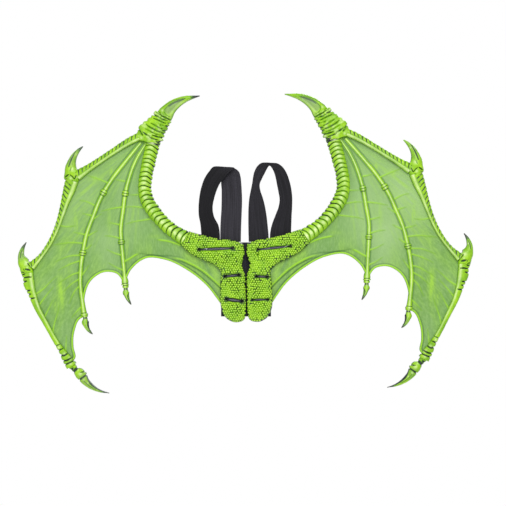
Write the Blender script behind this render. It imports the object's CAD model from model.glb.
import functools
import math

import bpy
import mathutils
import numpy as np
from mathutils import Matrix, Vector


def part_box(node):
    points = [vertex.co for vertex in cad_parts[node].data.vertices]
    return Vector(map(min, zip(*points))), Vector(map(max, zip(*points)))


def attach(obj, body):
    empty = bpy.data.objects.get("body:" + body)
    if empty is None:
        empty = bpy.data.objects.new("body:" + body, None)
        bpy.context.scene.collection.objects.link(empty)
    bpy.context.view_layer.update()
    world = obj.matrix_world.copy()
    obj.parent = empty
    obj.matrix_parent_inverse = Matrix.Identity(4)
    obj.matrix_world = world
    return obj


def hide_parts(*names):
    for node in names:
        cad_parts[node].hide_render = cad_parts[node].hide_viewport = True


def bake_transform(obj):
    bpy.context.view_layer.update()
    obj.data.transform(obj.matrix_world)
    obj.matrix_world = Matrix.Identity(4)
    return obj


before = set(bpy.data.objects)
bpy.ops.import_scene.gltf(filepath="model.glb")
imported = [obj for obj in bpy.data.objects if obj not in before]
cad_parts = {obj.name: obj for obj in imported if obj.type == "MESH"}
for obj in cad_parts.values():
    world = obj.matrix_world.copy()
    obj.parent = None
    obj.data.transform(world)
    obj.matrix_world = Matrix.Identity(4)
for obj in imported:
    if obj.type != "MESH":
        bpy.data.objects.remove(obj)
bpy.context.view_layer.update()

# Lengths in this script are millimetres until a mesh is made, which turns them into metres.
MM = 0.001
BACK = -1.5            # flat rear of the foam
SKIN_FRONT = -4.0      # front of the membrane sheet
LEFT_DROOP = math.radians(2.37)  # the left wing hangs this much lower than the right one mirrored
SHARP_ANGLE = math.radians(50)   # edges that bend more than this are shaded sharp


# ---------------------------------------------------------------- curves and distances

def hermite(knots, values, at):
    """A smooth curve through values at knots, read at other places."""
    knots = np.asarray(knots, float)
    values = np.asarray(values, float)
    slope = np.gradient(values, knots)
    i = np.clip(np.searchsorted(knots, at, side="right") - 1, 0, len(knots) - 2)
    span = knots[i + 1] - knots[i]
    t = (at - knots[i]) / span
    return (
        values[i] * (1 + 2 * t) * (1 - t) ** 2
        + slope[i] * span * t * (1 - t) ** 2
        + values[i + 1] * t * t * (3 - 2 * t)
        - slope[i + 1] * span * t * t * (1 - t)
    )


def smooth_line(points, step):
    """Points a step apart on a smooth curve through hand-chosen points."""
    points = np.asarray(points, float)
    knots = np.r_[0, np.cumsum(np.linalg.norm(np.diff(points[:, :2], axis=0), axis=1))]
    at = np.linspace(0, knots[-1], max(int(knots[-1] / step) + 1, 2))
    return np.column_stack([hermite(knots, column, at) for column in points.T])


def outline(*runs, step):
    """A closed outline from runs of points joined end to end."""
    return np.vstack([smooth_line(run, step)[:-1] for run in runs])


def distance_to(line, x, z, closed=False):
    """How far each place is from a line, and how far along the line it is nearest to."""
    line = np.asarray(line, float)[:, :2]
    ends = np.roll(line, -1, axis=0) if closed else line[1:]
    starts = line if closed else line[:-1]
    best = np.full(x.shape, 1e9)
    where = np.zeros(x.shape)
    run = 0.0
    for (ax, az), (bx, bz) in zip(starts, ends):
        dx, dz = bx - ax, bz - az
        length = math.hypot(dx, dz)
        t = np.clip(((x - ax) * dx + (z - az) * dz) / max(length * length, 1e-9), 0, 1)
        away = np.hypot(x - ax - t * dx, z - az - t * dz)
        nearer = away < best
        best = np.where(nearer, away, best)
        where = np.where(nearer, run + t * length, where)
        run += length
    return best, where / run


def inside(shape, x, z):
    """Whether each place is inside a closed outline."""
    odd = np.zeros(x.shape, bool)
    for (ax, az), (bx, bz) in zip(shape, np.roll(shape, -1, axis=0)):
        if az == bz:
            continue
        crosses = ((az > z) != (bz > z)) & (x < (bx - ax) * (z - az) / (bz - az) + ax)
        odd ^= crosses
    return odd


def depth_inside(shape, x, z):
    """Distance to a closed outline, positive inside it."""
    away = distance_to(shape, x, z, closed=True)[0]
    return np.where(inside(shape, x, z), away, -away)


def step_between(low, high, value):
    """0 below low, 1 above high, and smooth between."""
    t = np.clip((value - low) / (high - low), 0, 1)
    return t * t * (3 - 2 * t)


def bump_at(centre, width, value):
    """A smooth bump of height 1."""
    return np.exp(-(((value - centre) / width) ** 2))


def most(*values):
    """The greatest of several values at each place."""
    return functools.reduce(np.maximum, values)


def value_noise(x, z, scale, seed):
    """Smooth noise from 0 to 1 that repeats only after so many cells each way."""
    cells = 256
    table = np.random.default_rng(seed).random((cells, cells))
    u, w = x / scale, z / scale
    i, j = np.floor(u).astype(int), np.floor(w).astype(int)
    fu, fw = u - i, w - j
    fu, fw = fu * fu * (3 - 2 * fu), fw * fw * (3 - 2 * fw)
    i0, i1, j0, j1 = i % cells, (i + 1) % cells, j % cells, (j + 1) % cells
    a, b, c, d = table[i0, j0], table[i1, j0], table[i0, j1], table[i1, j1]
    return (a * (1 - fu) + b * fu) * (1 - fw) + (c * (1 - fu) + d * fu) * fw


def rough_noise(x, z, scale, seed, octaves=3):
    """Noise with finer and finer detail, from about -1 to 1."""
    total = np.zeros(np.shape(x))
    for k in range(octaves):
        total += (value_noise(x, z, scale / 2**k, seed + k) - 0.5) / 2**k
    return total * 1.2


# ---------------------------------------------------------------- meshes

def volume_of(points, faces):
    """The signed volume inside closed faces: it is negative when they face in."""
    total = 0.0
    for corners in {len(face) for face in faces}:
        ring = np.array([face for face in faces if len(face) == corners])
        for k in range(1, corners - 1):
            a, b, c = points[ring[:, 0]], points[ring[:, k]], points[ring[:, k + 1]]
            total += np.einsum("ij,ij->i", a, np.cross(b, c)).sum() / 6
    return total


def make_mesh(name, points, faces, attributes=None):
    """A Blender object from points in millimetres, with float attributes on its points."""
    points = np.asarray(points, float)
    if volume_of(points, faces) < 0:
        faces = [face[::-1] for face in faces]
    mesh = bpy.data.meshes.new(name)
    mesh.from_pydata((points * MM).tolist(), [], faces)
    for key, values in (attributes or {}).items():
        layer = mesh.attributes.new(key, "FLOAT", "POINT")
        layer.data.foreach_set("value", np.asarray(values, np.float32).ravel())
    mesh.polygons.foreach_set("use_smooth", np.ones(len(mesh.polygons), bool))
    mesh.set_sharp_from_angle(angle=SHARP_ANGLE)
    mesh.update()
    piece = bpy.data.objects.new(name, mesh)
    bpy.context.scene.collection.objects.link(piece)
    return piece


def grid_faces(rows, columns, first=0, wrap=False):
    """Quads of a grid of points, numbered row by row."""
    i = np.arange(rows - 1)[:, None]
    j = np.arange(columns if wrap else columns - 1)[None, :]
    a = first + i * columns + j
    b = first + i * columns + (j + 1) % columns
    quads = np.stack([a, b, b + columns, a + columns], axis=-1)
    return quads.reshape(-1, 4).tolist()


def place_on_side(points, side):
    """Leaves a right-hand piece where it is, or moves it to the left wing."""
    if side == "right":
        return points
    x, y, z = -points[:, 0], points[:, 1], points[:, 2]
    c, s = math.cos(LEFT_DROOP), math.sin(LEFT_DROOP)
    return np.column_stack([x * c - z * s, y, x * s + z * c])


# ---------------------------------------------------------------- stations, as in the CAD

# Each station of a limb is (x, z, width, height), from its root to its end.
ARM = [
    (161, 266, 26, 14), (167, 245, 26, 15), (173, 222, 25.5, 15), (178.5, 200, 25, 15),
    (181, 172, 25, 15), (176.5, 153, 26, 15), (166, 134.5, 26, 15), (153, 117.5, 25, 14.5),
    (135, 99.5, 25.5, 14), (110, 82, 29, 13.5),
]
WRIST = [
    (139.5, 311.5, 33, 14), (146, 301, 36, 16), (157, 288, 43, 17.5), (166, 276, 50, 17.5),
    (170, 261.5, 41, 14.5),
]
THUMB_CLAW = [
    (144, 304, 27, 7), (139, 311.5, 30, 11.5), (128, 325, 24, 15), (112, 336, 17, 12),
    (98, 341.5, 11.5, 9), (85, 344, 6.2, 6), (72, 346, 1.6, 2.4),
]
FINGER_1_INNER = [
    (172, 283, 13, 10), (186, 276, 16, 12), (205, 267.5, 15.5, 12), (235, 250.5, 13.5, 11),
    (262, 234, 13.5, 11), (288, 218, 16.5, 12), (306, 207, 22, 12),
]
UPPER_HORN = [
    (317, 192, 23, 12), (315.5, 207, 31, 13.5), (317, 220, 23, 13), (314.5, 234, 15.2, 11),
    (308, 246.5, 10, 8), (300.5, 255, 6, 5), (293, 261, 1.6, 2.4),
]
FINGER_1_MIDDLE = [
    (316, 198, 26, 13), (322, 181, 24, 12), (330, 160, 18, 11.5), (338, 137, 13.5, 11),
    (348, 111, 11, 10.5), (363, 82.5, 10, 10.5), (380, 60, 10.5, 10.5), (398, 42, 18, 11.5),
]
LOWER_HORN = [
    (404, 24, 21, 11), (407.5, 40, 25, 13), (413, 52, 20, 12), (416, 63, 12, 10),
    (414, 73, 8, 7), (410, 81, 4.5, 4.5), (406, 87, 1.6, 2.4),
]
FINGER_1_OUTER = [
    (404, 30, 18, 11.5), (404, 12, 22, 12), (399, -8, 16.5, 11.5), (390.5, -35, 12.5, 11),
    (376, -65, 10.5, 10.5), (361, -95, 10, 10), (347, -119, 13.5, 11), (339, -133, 19, 12.5),
    (331, -147, 21, 12.5),
]
TIP_CLAW = [
    (333, -143, 12, 8), (324, -154, 14, 9.5), (314, -163.5, 20, 12.5), (306, -176, 15, 11),
    (295, -186.5, 10.5, 8.5), (281, -194.5, 6, 5.5), (263, -200, 1.6, 2.4),
]
FINGER_2 = [
    (185, 263, 6, 4.5), (215, 229, 7, 4.5), (244, 194, 8, 5), (264.5, 162, 8.5, 5.5),
    (279, 130, 8, 5), (292, 99, 8, 5), (300.5, 66, 8.5, 5), (305, 42, 8.5, 5), (308, 5, 8, 5),
    (305.5, -30, 8.5, 5), (304, -44, 9.5, 6), (303, -54, 12.5, 6.5),
]
FINGER_2_CLAW = [
    (303.3, -48, 9.5, 7), (302.3, -55, 11, 7.5), (302, -60, 9, 7.5), (301.9, -66, 14, 8.5),
    (300.5, -72, 11, 7.5), (298, -78.5, 8, 6.5), (294, -84.5, 5, 4.5), (289.5, -89, 1.6, 2.4),
]
FINGER_3 = [
    (175, 262, 5, 4), (195, 231.5, 6, 4.5), (212, 190, 7.5, 5), (217.5, 170, 8, 5),
    (223, 139, 8, 5), (229, 99, 7.5, 5), (228.5, 80, 8, 5), (227, 49, 8, 5),
    (225.4, 16, 8.5, 5), (225.1, 8, 12.5, 6.5), (225, 0, 12.5, 6.5),
]
FINGER_3_CLAW = [
    (225.2, 5, 9.5, 7), (224.6, -4, 11.5, 8), (224.3, -9.5, 8.5, 7), (224.3, -14, 12.5, 8),
    (223, -20.5, 9.3, 7.5), (221, -27, 7, 6), (218.5, -32, 4.6, 4.4), (215.5, -37, 1.6, 2.4),
]


# ---------------------------------------------------------------- limbs

DOME_POWER = 0.75      # 1 would make a limb's section half an ellipse, and less makes it squarer
BACK_COLUMNS = 6
BACK_BORDER = 0.06     # share of a limb's width between its edge and the first column of its back
BACK_WASH = 0.22
# How far each limb's flat back stands behind the arm's, so that no two lie in one plane.
BACK_LAYERS = {
    "wrist_wrap": 0.24, "thumb_claw": 0.12, "first_finger_inner": 0.06, "upper_horn": 0.24,
    "first_finger_middle": 0.12, "lower_horn": 0.24, "first_finger_outer": 0.06, "tip_claw": 0.12,
}


class Limb:
    """A domed limb swept along its stations: a grid of rows along it and columns across it.

    Across it, v runs from -1 to 1, to the left of its heading, and s is the distance along."""

    def __init__(self, stations, step, columns):
        table = np.asarray(stations, float)
        gaps = np.linalg.norm(np.diff(table[:, :2], axis=0), axis=1)
        knots = np.r_[0, np.cumsum(gaps)]
        self.length = knots[-1]
        along = np.linspace(0, self.length, max(int(self.length / step), 8))
        x, z, width, height = (hermite(knots, column, along) for column in table.T)
        heading = np.gradient(np.column_stack([x, z]), along, axis=0)
        heading /= np.linalg.norm(heading, axis=1)[:, None]
        self.s, angle = np.meshgrid(along, np.linspace(math.pi, 0, columns), indexing="ij")
        self.v = -np.cos(angle)
        rise = np.sin(angle) ** DOME_POWER
        centre = np.stack([x, np.full(len(x), BACK), z], axis=-1)
        left = np.stack([-heading[:, 1], np.zeros(len(x)), heading[:, 0]], axis=-1)
        self.points = (
            centre[:, None, :]
            + left[:, None, :] * (width[:, None] / 2 * self.v)[..., None]
            + np.array([0, -1.0, 0]) * (height[:, None] * rise)[..., None]
        )

    @property
    def x(self):
        return self.points[..., 0]

    @property
    def z(self):
        return self.points[..., 2]

    def along(self, x, z):
        """The distance along the limb of its middle point nearest to a place."""
        middle = self.points[:, self.points.shape[1] // 2]
        return self.s[np.argmin(np.hypot(middle[:, 0] - x, middle[:, 2] - z)), 0]

    def normals(self):
        """Unit normals that point out of the dome."""
        down = np.gradient(self.points, axis=0)
        across = np.gradient(self.points, axis=1)
        normal = np.cross(across, down)
        normal /= np.maximum(np.linalg.norm(normal, axis=2), 1e-9)[..., None]
        out = np.where(normal[:, normal.shape[1] // 2, 1].mean() < 0, 1, -1)
        return normal * out

    def push(self, depth):
        """Moves the dome's surface out along its normals, less at its flat back."""
        self.points = self.points + self.normals() * depth[..., None]

    def solid(self, name, side, attributes):
        """Closes the back and the ends, and makes the piece.

        The back is a ring of columns of its own, so that the paint of the front stops at its edge."""
        dome = self.points
        dome[..., 1] = np.minimum(dome[..., 1], BACK)
        left, right = dome[:, :1], dome[:, -1:]
        shares = np.linspace(BACK_BORDER, 1 - BACK_BORDER, BACK_COLUMNS)[None, :, None]
        flat = right + (left - right) * shares
        ring = np.concatenate([dome, flat], axis=1)
        ring[..., 1] += BACK_LAYERS.get(name, 0.0)
        rows, around, _ = ring.shape
        points = np.vstack([ring.reshape(-1, 3), ring[0].mean(axis=0)[None], ring[-1].mean(axis=0)[None]])
        faces = grid_faces(rows, around, wrap=True)
        last = (rows - 1) * around
        pairs = [(a, (a + 1) % around) for a in range(around)]
        faces += [(b, a, rows * around) for a, b in pairs]
        faces += [(last + a, last + b, rows * around + 1) for a, b in pairs]
        values = {}
        for key, value in attributes.items():
            front = np.broadcast_to(value, dome.shape[:2])
            behind = np.full((rows, flat.shape[1]), BACK_WASH if key == "wash" else 0.0)
            values[key] = np.r_[np.concatenate([front, behind], axis=1).ravel(), 0, 0]
        return make_mesh(f"{side}_{name}", place_on_side(points, side), faces, values)


def rolls(phase, sharpness=0.5):
    """Rounded bands with sharp grooves between them, from 0 in a groove to 1 on a crest."""
    across = 2 * (phase - np.floor(phase)) - 1
    return np.maximum(1 - across**2, 0) ** sharpness


def per_band(phase, low, high, seed):
    """A random value for each band."""
    table = np.random.default_rng(seed).uniform(low, high, 128)
    return table[np.floor(phase).astype(int) % 128]


def in_groove(phase, half):
    """How dark the wash lies in the grooves between bands. half is a groove's share of a band, each side."""
    away = 0.5 - np.abs(phase - np.floor(phase) - 0.5)
    return 1 - step_between(0.35 * half, half, away)


def creased(limb, creases):
    """Creases drawn on a limb: how deep each cuts, and how dark the wash lies in it.

    Each is (points, half width, depth, darkness)."""
    cut = np.zeros(limb.x.shape)
    dark = np.zeros(limb.x.shape)
    for points, width, depth, darkness in creases:
        away, where = distance_to(smooth_line(points, 1.5), limb.x, limb.z)
        taper = np.sin(math.pi * np.clip(where, 0.08, 0.92)) ** 0.35
        amount = np.exp(-((away / (width * taper)) ** 2))
        cut = most(cut, depth * amount)
        dark = most(dark, darkness * amount)
    return cut, dark


def spots(limb, places):
    """Soft round spots of brushed highlight, each (x, z, radius)."""
    amount = np.zeros(limb.x.shape)
    for x, z, radius in places:
        amount = most(amount, bump_at(0, radius, np.hypot(limb.x - x, limb.z - z)))
    return amount


def arm(name, side):
    """The forearm, with its overlapping ribs that arch towards the wrist."""
    limb = Limb(ARM, step=0.5, columns=56)
    narrow, wide, arch = 7.7, 10.2, 5.0
    growth = (wide - narrow) / limb.length
    seed = 3 if side == "right" else 9
    wobble = 1.5 * rough_noise(limb.x, limb.z, 17, seed)
    s = limb.s + arch * (1 - (limb.v - 0.1) ** 2) + wobble
    phase = np.log1p(growth * s / narrow) / growth
    roll = rolls(phase, 0.42) * per_band(phase, 0.82, 1.12, seed + 2)
    web_side = step_between(0.62, 0.98, limb.v)
    free_side = step_between(0.25, -0.85, limb.v)
    limb.push((2.9 * roll - 2.5) * (1 - 0.6 * web_side) + 0.25 * rough_noise(limb.x, limb.z, 3.5, 11))
    darkness = per_band(phase + 0.5, 0.55, 1.0, seed + 4)
    drawn = in_groove(phase, 0.14 + 0.07 * free_side) * (0.78 + 0.22 * free_side) * (1 - 0.4 * web_side)
    blotch = in_groove(phase, 0.42) * per_band(phase + 0.5, 0.1, 1.3, seed + 8)
    wash = most(
        drawn * darkness, np.clip(blotch, 0, 1) * step_between(-0.66, -0.94, limb.v),
        0.85 * step_between(10, 6, limb.s), 0.4 * step_between(0.82, 1.0, limb.v),
    )
    shine = bump_at(0.08 + 0.25 * rough_noise(limb.x, limb.z, 9, 13), 0.34, limb.v)
    lower = 0.8 + 0.35 * step_between(0.6 * limb.length, 0.85 * limb.length, limb.s)
    pale = (1 - in_groove(phase, 0.34)) * shine * per_band(phase, 0.6, 1.25, seed + 6) * lower
    return limb.solid(name, side, {"wash": wash, "pale": pale})


WRIST_CREASES = [
    ([(144, 312), (153, 317)], 1.3, 1.5, 0.85), ([(150, 310), (159, 313.5)], 1.7, 1.8, 1.0),
    ([(124, 300.5), (129, 303), (136, 307), (144, 311)], 1.7, 1.8, 1.0),
    ([(133, 301), (141, 304), (149, 308)], 1.4, 1.6, 1.0),
    ([(136, 296), (143, 299), (150, 303), (159, 307)], 1.3, 1.6, 0.9),
    ([(124, 294.5), (131, 296)], 2.2, 1.5, 1.0), ([(129, 289.5), (136, 291.5)], 2.2, 1.5, 1.0),
    ([(139, 291), (144, 292.5), (150, 295.5)], 1.3, 1.2, 0.6),
    ([(143, 286), (149, 288.5), (156, 293), (164, 298)], 1.5, 1.6, 0.85),
    ([(135, 282), (142, 283)], 2.2, 1.5, 1.0),
    ([(142, 279), (150, 281.5), (157, 285), (166, 290.5), (173, 296)], 1.7, 1.8, 0.9),
    ([(137, 276.5), (144, 277.5)], 2.0, 1.4, 0.95),
    ([(147, 274.5), (156, 277), (165, 282), (175, 288)], 1.2, 1.4, 0.6),
    ([(167, 273), (174, 277), (180, 282)], 1.7, 1.7, 1.0),
    ([(140, 270), (146, 270.5), (152, 271.5), (161, 274.5)], 1.8, 1.8, 1.0),
    ([(152, 265.5), (160, 268), (167, 271)], 1.4, 1.5, 0.9), ([(142, 262.5), (150, 263)], 2.0, 1.5, 1.0),
    ([(181, 276), (184, 281), (187.5, 288)], 1.9, 2.2, 1.0),
    ([(150, 258), (160, 259), (170, 260.5), (180, 264), (188, 267)], 1.5, 1.6, 0.95),
]
WRIST_SHINE = [(147, 267.5, 2.5), (168, 268.5, 3), (183, 271.5, 2.5), (156, 316, 2), (142, 306.5, 2)]


def wrist_wrap(name, side):
    """The wrist, wrapped in overlapping sinews that rise to the outside."""
    limb = Limb(WRIST, step=0.5, columns=84)
    cut, dark = creased(limb, WRIST_CREASES)
    swell = 1.6 * value_noise(limb.x + limb.z * 0.5, limb.z - limb.x * 0.5, 5.5, 21)
    knobs = 2.6 * rolls((limb.s + 1.5) / 9.5) * step_between(0.5, 1.0, limb.v)
    fine = rolls((limb.z - 0.52 * limb.x) / 2.3)
    limb.push(swell + knobs - 1.5 * cut + 0.35 * fine - 1.0 + 0.3 * rough_noise(limb.x, limb.z, 3.0, 29))
    patchy = 0.42 + 0.62 * value_noise(limb.x, limb.z, 5.0, 27)
    dark = most(np.clip(dark * patchy, 0, 1), (1 - fine) * 0.14)
    free = step_between(-0.8, -1.0, limb.v) * step_between(0.25, 0.7, dark + 0.1)
    wash = most(dark, free, 0.3 * step_between(0.85, 1.0, np.abs(limb.v)))
    pale = (0.8 * spots(limb, WRIST_SHINE) + 0.5 * step_between(0.5, 0.9, swell / 1.6)) * (1 - wash)
    return limb.solid(name, side, {"wash": wash, "pale": pale})


CLAW_RECESS = [
    (96, 342.5), (110, 340.5), (122, 336), (131, 330), (137, 323), (137, 316), (131, 311),
    (122, 317), (112, 327), (102, 335.5),
]
CLAW_SHADE = [(95, 342.5), (104, 340), (114, 336.5), (122, 333.5), (129, 329.5)]
CLAW_CREASES = [
    ([(103, 344), (114, 341), (125, 337), (136, 331), (146, 324.5)], 0.9, 0.7, 0.55),
    ([(138, 324), (138.5, 317), (135, 311.5), (129, 307.5)], 1.3, 1.0, 0.5),
    ([(146, 314.5), (150, 318)], 1.4, 1.2, 0.9),
]
CLAW_SHINE = [(139.5, 309.5, 2.4), (144, 314, 2), (142, 321, 2.2), (133, 309, 2)]


def thumb_claw(name, side):
    """The large claw, hollowed along its face below a raised rim."""
    limb = Limb(THUMB_CLAW, step=0.6, columns=60)
    recess = depth_inside(outline(CLAW_RECESS + CLAW_RECESS[:1], step=2), limb.x, limb.z)
    hollow = step_between(-1.0, 3.0, recess)
    limb.push(-3.0 * hollow)
    limb.push(0.3 * rough_noise(limb.x, limb.z, 5, 31))
    shade, along = distance_to(smooth_line(CLAW_SHADE, 2), limb.x, limb.z)
    band = np.exp(-((shade / (1.4 + 1.6 * along)) ** 2)) * hollow
    tip = step_between(limb.length - 26, limb.length - 4, limb.s)
    streak = 0.5 + 0.5 * rough_noise(limb.s / 5, limb.v * 6, 1.0, 37)
    rim = bump_at(0.4, 1.2, recess) * step_between(0.2, -0.4, limb.v)
    cut, drawn = creased(limb, CLAW_CREASES)
    limb.push(-1.2 * cut)
    wash = most(
        0.95 * band * (0.75 + 0.4 * streak), 0.3 * hollow * streak, 0.5 * rim, drawn,
        tip * (0.35 if side == "right" else 1.0), 0.45 * step_between(0.86, 1.0, np.abs(limb.v)),
    )
    lower = step_between(-0.1, 0.6, limb.v)
    pale = 0.4 * hollow * (1 - band) * (0.4 + 0.6 * streak) + 0.35 * bump_at(0.75, 0.15, limb.v) * lower
    pale = np.maximum(pale, 0.8 * spots(limb, CLAW_SHINE)) * (1 - drawn)
    grey = np.maximum(hollow * 0.9, band)
    return limb.solid(name, side, {"wash": wash, "pale": pale, "grey": grey})


OUTER_CREASES = [
    ([(398, 22), (405, 22.3), (413.5, 21.5)], 1.6, 1.6, 1.0), ([(407, 15), (416, 13)], 1.7, 1.8, 1.0),
    ([(401, -2.5), (411, -4)], 1.6, 1.6, 1.0), ([(400, -9.5), (408, -10.5)], 1.5, 1.6, 1.0),
    ([(393, -17), (404, -18.5)], 1.5, 1.4, 0.95), ([(350, -104.5), (361, -109)], 1.1, 0.9, 0.75),
    ([(345, -113), (357, -118)], 1.4, 1.3, 0.95), ([(335, -121.5), (344, -126), (355, -125)], 1.9, 2.0, 1.0),
    ([(327, -129), (338, -135), (350, -137)], 1.7, 2.0, 1.0),
    ([(325, -136), (336, -141), (347, -145)], 1.6, 1.7, 1.0),
]
OUTER_SHINE = [(352.5, -110.5, 2.6), (342, -123.5, 3), (332, -131.5, 3), (332, -141, 3)]


def finger_bone(name, side, stations, step, tick, ticks_until=1e9, tube_until=1e9, creases=(), shine=()):
    """A length of the leading finger: a notched outer strip beside a smooth tube.

    tick is the spacing of the notches. They end at ticks_until along the bone, and the highlight of
    the tube ends at tube_until."""
    limb = Limb(stations, step=step, columns=48)
    wobble = 1.3 * rough_noise(limb.x, limb.z, 11, 41)
    strip = step_between(-0.5, -0.2, limb.v)
    seam = bump_at(-0.3, 0.1, limb.v)
    phase = (limb.s + 5.0 * limb.v + wobble) / tick
    roll = rolls(phase, 0.3) * per_band(phase, 0.9, 1.05, 47)
    notched = strip * step_between(ticks_until + 4, ticks_until - 4, limb.s)
    cut, drawn = creased(limb, creases)
    profile = 1.0 * bump_at(-0.65, 0.3, limb.v) - 0.9 * seam * notched - 0.5 * strip
    limb.push(profile - 2.0 * (1 - roll) * notched * step_between(-0.3, 0.4, limb.v))
    limb.push(0.36 * (rolls(phase * 2 + 0.3, 0.6) - 0.7) * notched - 1.3 * cut)
    limb.push(0.2 * rough_noise(limb.x, limb.z, 4, 43))
    heavy = per_band(phase + 0.5, 0.7, 1.05, 49)
    dark = in_groove(phase, 0.21) * notched * step_between(-0.45, 0.0, limb.v) * heavy
    wash = most(
        dark * (0.86 - 0.3 * step_between(0.75, 1.0, limb.v)), 0.5 * seam * notched, drawn,
        0.5 * step_between(-0.72, -1.0, limb.v), 0.45 * step_between(0.88, 1.0, limb.v),
    )
    broken = 0.45 + 0.75 * value_noise(limb.s, limb.v * 3, 9, 51)
    pale = bump_at(-0.55, 0.22, limb.v) * broken * step_between(tube_until + 8, tube_until - 8, limb.s)
    pale = most(pale, spots(limb, shine))
    return limb.solid(name, side, {"wash": wash, "pale": pale * (1 - drawn)})


# What is drawn on each claw of the leading finger: its creases, then its bright spots.
UPPER_HORN_MARKS = (
    [
        ([(299, 217), (307, 212)], 1.1, 1.4, 0.9), ([(304, 211), (309.5, 200.5)], 1.1, 1.6, 0.9),
        ([(310, 200), (314, 205), (318, 208.5)], 1.0, 1.4, 0.85), ([(321, 209), (328, 204.5)], 1.3, 1.8, 1.0),
        ([(306, 191.5), (314, 197)], 1.2, 1.5, 0.75), ([(297, 203), (300, 208), (300, 215)], 1.1, 1.4, 0.8),
        ([(325, 201), (331, 198)], 1.6, 1.6, 1.0), ([(320, 196), (326, 197)], 1.0, 1.2, 0.6),
        ([(307, 252), (312, 243), (316.5, 233), (320, 224)], 1.7, 0.9, 0.95),
        ([(315, 222), (317.5, 216)], 1.4, 0.8, 0.6),
    ],
    [(314, 219, 3.5), (304, 206.5, 3.5), (316.5, 202, 2.5), (305.5, 246, 2)],
)
LOWER_HORN_MARKS = (
    [
        ([(394.5, 40.5), (403, 47)], 1.7, 1.6, 1.0), ([(399, 35), (408, 37)], 1.9, 1.5, 1.0),
        ([(400, 28.7), (414, 27)], 1.9, 1.8, 1.0), ([(396.5, 49.5), (402, 53.5)], 1.6, 1.2, 1.0),
        ([(411, 30.5), (417, 32)], 1.1, 1.2, 0.8), ([(413, 73), (416, 65), (417, 58)], 1.1, 0.9, 0.8),
        ([(412, 38), (410, 33)], 0.9, 1.0, 0.55),
    ],
    [(406, 48, 4.0), (404, 40.5, 2), (413, 68, 1.6)],
)
TIP_CLAW_MARKS = (
    [
        ([(319, -149), (325, -154.5), (330, -161)], 3.2, 1.4, 1.0),
        ([(328, -150), (332, -155)], 2.6, 0.8, 1.0),
        ([(304, -157.5), (309, -157.5), (314, -158)], 1.2, 1.2, 0.9),
        ([(301, -162.5), (309, -167.5), (319, -174.5)], 1.8, 1.7, 1.0),
        ([(308, -175), (298, -185.5), (287, -192)], 0.9, 0.8, 0.7),
        ([(302.5, -165), (296.5, -179), (283, -190.5), (266, -199)], 2.2, 0.4, 1.0),
    ],
    [(314, -161.5, 3), (308.5, -172, 2.2), (301, -179, 1.6), (318.5, -154, 1.5)],
)


def horn(name, side, stations, marks, knuckle, dark_tip, seed):
    """A knuckle with folded skin, which ends at knuckle along the limb, and the horn that grows from it."""
    limb = Limb(stations, step=0.45, columns=52)
    creases, shine = marks
    cut, drawn = creased(limb, creases)
    bent = step_between(knuckle + 8, knuckle - 2, limb.s)
    lumps = value_noise(limb.x, limb.z, 6.5, seed) - 0.4
    limb.push(1.6 * bent * lumps - 1.4 * cut + 0.2 * rough_noise(limb.x, limb.z, 3, seed + 1))
    free = 1 - bent
    flute = bump_at(0.45, 0.13, limb.v) * free
    limb.push(-0.5 * flute)
    tip = step_between(limb.length - 22, limb.length - 3, limb.s)
    streaks = 0.5 + 0.6 * rough_noise(limb.s / 9, limb.v * 4, 1.0, seed + 2)
    edge = 0.5 * step_between(0.84, 1.0, np.abs(limb.v))
    wash = most(drawn, 0.45 * flute * streaks, tip * dark_tip, edge)
    pale = most(0.9 * spots(limb, shine), bump_at(0.1, 0.2, limb.v) * free * 0.4 * streaks)
    grey = free * (0.75 * (0.4 + 0.6 * streaks) if side == "left" else 0.12)
    return limb.solid(name, side, {"wash": wash, "pale": pale * (1 - drawn), "grey": grey})


SUNK = 0.8             # how far the back of a thin finger lies behind the front of the membrane


def slender_finger(name, side, stations, knuckles, end_ring):
    """A thin finger on the membrane, with ringed knuckles, each (x, z, half length), and a last ring."""
    limb = Limb(stations, step=0.55, columns=26)
    limb.points[..., 1] += SKIN_FRONT - BACK + SUNK
    wash = 0.55 * step_between(0.7, 1.0, np.abs(limb.v))
    swell = np.zeros_like(wash)
    lines = np.zeros_like(wash)
    for x, z, half in knuckles:
        s = limb.s - limb.along(x, z)
        swell += 2.4 * bump_at(0, half, s)
        for ring in (-0.62, 0.62):
            swell += 1.1 * bump_at(ring * half, 1.6, s)
        for gap, depth in ((-1.35, 0.8), (0.0, 1.0), (1.35, 1.0)):
            lines = most(lines, depth * bump_at(gap * half, 1.0, s))
    s = limb.s - limb.along(*end_ring)
    swell += 1.3 * bump_at(0, 1.7, s)
    lines = most(lines, bump_at(3.0, 0.9, np.abs(s)))
    limb.push(swell - 0.35 * lines + 0.12 * rough_noise(limb.x, limb.z, 3, 53))
    wash = most(wash, 0.7 * lines)
    pale = bump_at(-0.05, 0.3, limb.v) * (1 - lines)
    return limb.solid(name, side, {"wash": wash, "pale": pale})


# The creases of the two small claws.
SECOND_CLAW_CREASES = [
    ([(295, -56.5), (301, -58.5), (309, -57.5)], 1.5, 1.2, 1.0),
    ([(296.5, -60), (296, -66), (296.3, -72), (294, -80)], 2.1, 0.6, 1.0),
    ([(302, -70), (299, -77), (294, -84)], 1.2, 0.7, 0.6),
]
THIRD_CLAW_CREASES = [
    ([(217.5, -5.5), (222, -7.5), (230.5, -6.5)], 1.5, 1.2, 0.95), ([(221, 0.3), (232, -0.8)], 1.3, 1.1, 0.9),
    ([(218.5, -15), (220.7, -22), (219, -29)], 1.3, 0.4, 0.8),
    ([(230, -15), (227.5, -22), (222, -31)], 1.7, 0.4, 0.95),
]


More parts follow.
